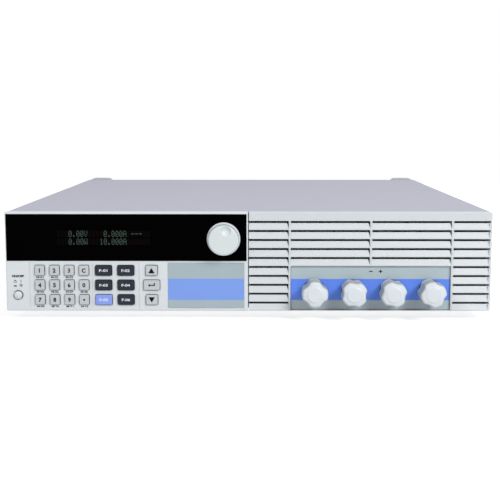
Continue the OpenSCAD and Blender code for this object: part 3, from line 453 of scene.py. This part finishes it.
ENTER_HALF, ENTER_LINE = 3.0 * MM, 0.5 * MM
x, face, z = front_of("key_enter")
tip, end, t = x - ENTER_HALF, x + ENTER_HALF, ENTER_LINE
neck = tip + 3 * t
signs("key_enter_arrow", [[
    (tip, z), (neck, z - 3 * t), (neck, z - t), (end, z - t), (end, z + 4 * t), (end - 2 * t, z + 4 * t),
    (end - 2 * t, z + t), (neck, z + t), (neck, z + 3 * t)]], face, "key_enter")

# Legends on the moulding and the terminal plate

_, FACE, _ = front_of("control_bezel")
UNDER = ["key_1", "key_2", "key_3", None, "key_4", "key_5", "key_6", "key_0", "key_7", "key_8", "key_9",
         "key_dot"]             # what each mark stands under; the fourth has no mark
MARK_DROP, MARK_HIGH, MARK_WIDE = 1.0 * MM, 1.6 * MM, 6.4 * MM
for i, name in enumerate(UNDER, 1):
    if name:
        x, _, _ = front_of(name)
        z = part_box(name)[0].z - MARK_DROP
        lettering(f"memory_mark_{i}", f"M-{i:02d}", x, z, MARK_HIGH, FACE, "chassis", wide=MARK_WIDE,
                  weight=0.035)

WORD_Z, ON_Z, OFF_Z = height(30.9), height(26.4), height(22.7)
WORD_WIDE, WORD_HIGH = 10.8 * MM, 2.2 * MM
HALF, LINE = 1.3 * MM, 0.35 * MM        # half size of a mark, and its stroke
BUTTON_X, STATE_X = -2.4 * MM, 2.6 * MM  # columns of marks beside the middle of the power button
ON_DEPTH, OFF_DEPTH = 0.3 * MM, 1.15 * MM
power_x, _, _ = front_of("power_button")
lettering("power_word", "ON/OFF", power_x, WORD_Z, WORD_HIGH, FACE, "chassis", wide=WORD_WIDE, weight=0.07)
for name, z, deep in (("on", ON_Z, ON_DEPTH), ("off", OFF_Z, OFF_DEPTH)):
    x = power_x + BUTTON_X
    left, right, foot, rim = x - HALF, x + HALF, z - HALF, z + LINE
    signs(f"power_{name}_button", [
        [(left, foot), (right, foot), (right, rim), (right - LINE, rim), (right - LINE, foot + LINE),
         (left + LINE, foot + LINE), (left + LINE, rim), (left, rim)],
        rectangle(x - HALF / 2, rim - deep, x + HALF / 2, z + HALF - deep)], FACE, "chassis")
x = power_x + STATE_X
signs("power_on_mark", [rectangle(x - HALF / 5, ON_Z - HALF, x + HALF / 5, ON_Z + HALF)], FACE, "chassis")
lettering("power_off_mark", "0", x, OFF_Z, 2 * HALF, FACE, "chassis", wide=2 * HALF, weight=0.02)

POLARITY_X, POLARITY_Z, POLARITY_HIGH = 112.3 * MM, height(35.2), 3.2 * MM
lettering("polarity_marks", "\u2212   +", POLARITY_X, POLARITY_Z, POLARITY_HIGH, PLATE_FACE, "chassis",
          weight=0.03)

# Display: characters of 5 by 7 dots

GLYPHS = {
    "0": "01110 10001 10011 10101 11001 10001 01110", "1": "00100 01100 00100 00100 00100 00100 01110",
    ".": "00000 00000 00000 00000 00000 01100 01100", "V": "10001 10001 10001 10001 01010 01010 00100",
    "A": "01110 10001 10001 11111 10001 10001 10001", "W": "10001 10001 10001 10101 10101 11011 10001",
    "-": "00000 00000 00000 11111 00000 00000 00000", " ": "00000 00000 00000 00000 00000 00000 00000"}
LINES = ["   0.00V    0.000A ---  ", "   0.00W   10.000A      "]
LINE_FOOT = [height(65.8), height(58.9)]
COLUMN, LEFT = 3.43 * MM, -168.2 * MM
DOT_X, DOT_Z = 0.56 * MM, 0.80 * MM     # pitch of the dots
DOT_WIDE, DOT_HIGH = 0.42 * MM, 0.588 * MM
_, LENS_FACE, _ = front_of("display_lens")
dots = {"0": [], "1": []}
for line, foot in zip(LINES, LINE_FOOT):
    for c, sign in enumerate(line):
        for r, row in enumerate(reversed(GLYPHS[sign].split())):
            for k, state in enumerate(row):
                x, z = LEFT + c * COLUMN + k * DOT_X, foot + r * DOT_Z
                dots[state].append(rectangle(x, z, x + DOT_WIDE, z + DOT_HIGH))
plates("display_dots_lit", dots["1"], LENS_FACE, INK, "lit_dot", "chassis")
plates("display_dots_unlit", dots["0"], LENS_FACE, INK, "unlit_dot", "chassis")
